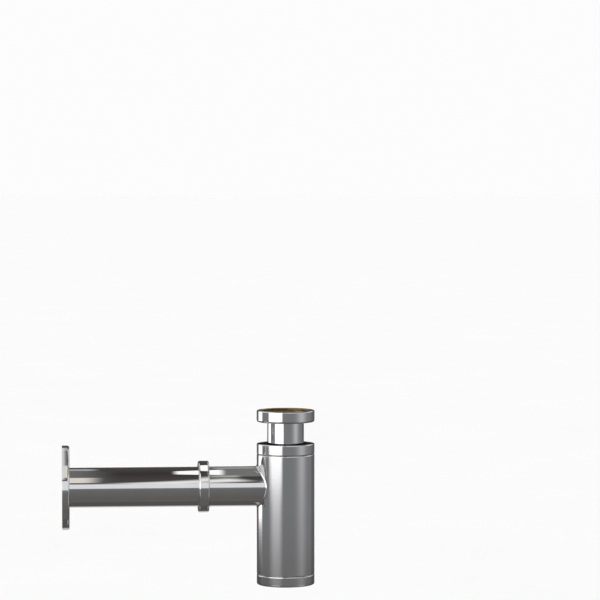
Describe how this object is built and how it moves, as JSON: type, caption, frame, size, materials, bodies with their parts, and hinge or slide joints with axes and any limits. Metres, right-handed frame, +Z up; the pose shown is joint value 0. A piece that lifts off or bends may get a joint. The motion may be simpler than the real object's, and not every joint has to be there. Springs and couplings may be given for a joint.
{
  "type": "bottle trap",
  "caption": "Chromed bottle trap for a wall basin: dip tube with union nut, round bottle with cleaning cap, and a straight outlet pipe with a wall rosette.",
  "frame": {"origin": "centre of the inlet union nut's mouth, on the inlet tube's axis", "axes": "+Z up along the inlet, out of the nut's mouth; -X along the outlet pipe towards the wall; Y sideways"},
  "size_m": [0.2203, 0.0734, 0.1528],
  "materials": {
    "chrome_polished": "mirror-polished chrome plate on brass",
    "chrome_satin": "chrome plate on brass, slightly satin",
    "brass": "bare turned brass, dull",
    "rubber": "black rubber, matte",
    "nylon": "white nylon, matte"
  },
  "bodies": {
    "inlet": {"inlet_tube": "chrome_polished", "inlet_flat_washer": "rubber"},
    "inlet_ring": {"inlet_slip_ring": "nylon"},
    "inlet_nut": {"inlet_union_nut": "chrome_polished"},
    "seal": {"top_cone_seal": "rubber"},
    "bottle": {"bottle_body": "chrome_satin", "top_thread_ferrule": "brass", "bottom_thread_ferrule": "brass", "outlet_branch": "chrome_polished", "branch_thread_ferrule": "brass", "outlet_flat_gasket": "rubber"},
    "top_washer": {"top_slip_washer": "nylon"},
    "top_nut": {"top_ring_nut": "chrome_polished"},
    "cap_seal": {"cap_gasket": "rubber"},
    "cap": {"bottom_cap": "chrome_satin"},
    "outlet_washer": {"outlet_slip_washer": "nylon"},
    "outlet_nut": {"outlet_nut": "chrome_polished"},
    "wall_pipe": {"wall_pipe": "chrome_polished"},
    "grip": {"rosette_grip_ring": "rubber"},
    "rosette": {"wall_rosette": "chrome_polished"}
  },
  "joints": [
    {"name": "inlet_nut_drop", "type": "slide", "parent": "inlet", "child": "inlet_ring", "axis": [0, 0, -1], "range_m": [0, 0.018]},
    {"name": "inlet_nut_turn", "type": "hinge", "parent": "inlet_ring", "child": "inlet_nut", "pos_m": [0, 0, 0], "axis": [0, 0, 1], "continuous": true},
    {"name": "bottle_height", "type": "slide", "parent": "inlet", "child": "seal", "axis": [0, 0, -1], "range_m": [-0.01, 0.03]},
    {"name": "bottle_swivel", "type": "hinge", "parent": "seal", "child": "bottle", "pos_m": [0, 0, -0.0365], "axis": [0, 0, 1], "continuous": true},
    {"name": "top_nut_turn", "type": "hinge", "parent": "bottle", "child": "top_washer", "pos_m": [0, 0, -0.034], "axis": [0, 0, 1], "range_deg": [0, 1260]},
    {"name": "top_nut_travel", "type": "slide", "parent": "top_washer", "child": "top_nut", "axis": [0, 0, 1], "range_m": [0, 0.0035]},
    {"name": "cap_travel", "type": "slide", "parent": "bottle", "child": "cap_seal", "axis": [0, 0, -1], "range_m": [0, 0.006]},
    {"name": "cap_turn", "type": "hinge", "parent": "cap_seal", "child": "cap", "pos_m": [0, 0, -0.148], "axis": [0, 0, -1], "range_deg": [0, 1440]},
    {"name": "outlet_nut_turn", "type": "hinge", "parent": "bottle", "child": "outlet_washer", "pos_m": [-0.075, 0, -0.0665], "axis": [-1, 0, 0], "range_deg": [0, 900]},
    {"name": "outlet_nut_travel", "type": "slide", "parent": "outlet_washer", "child": "outlet_nut", "axis": [-1, 0, 0], "range_m": [0, 0.00577]},
    {"name": "wall_pipe_swivel", "type": "hinge", "parent": "bottle", "child": "wall_pipe", "pos_m": [-0.0738, 0, -0.0665], "axis": [-1, 0, 0], "continuous": true},
    {"name": "rosette_slide", "type": "slide", "parent": "wall_pipe", "child": "grip", "axis": [1, 0, 0], "range_m": [0, 0.1]},
    {"name": "rosette_turn", "type": "hinge", "parent": "grip", "child": "rosette", "pos_m": [-0.1915, 0, -0.0665], "axis": [1, 0, 0], "continuous": true}
  ],
  "couplings": [
    {"joint": "top_nut_turn", "follows": "top_nut_travel", "rad_per_m": 6283.2},
    {"joint": "cap_turn", "follows": "cap_travel", "rad_per_m": 4188.8},
    {"joint": "outlet_nut_turn", "follows": "outlet_nut_travel", "rad_per_m": 2721.2}
  ]
}
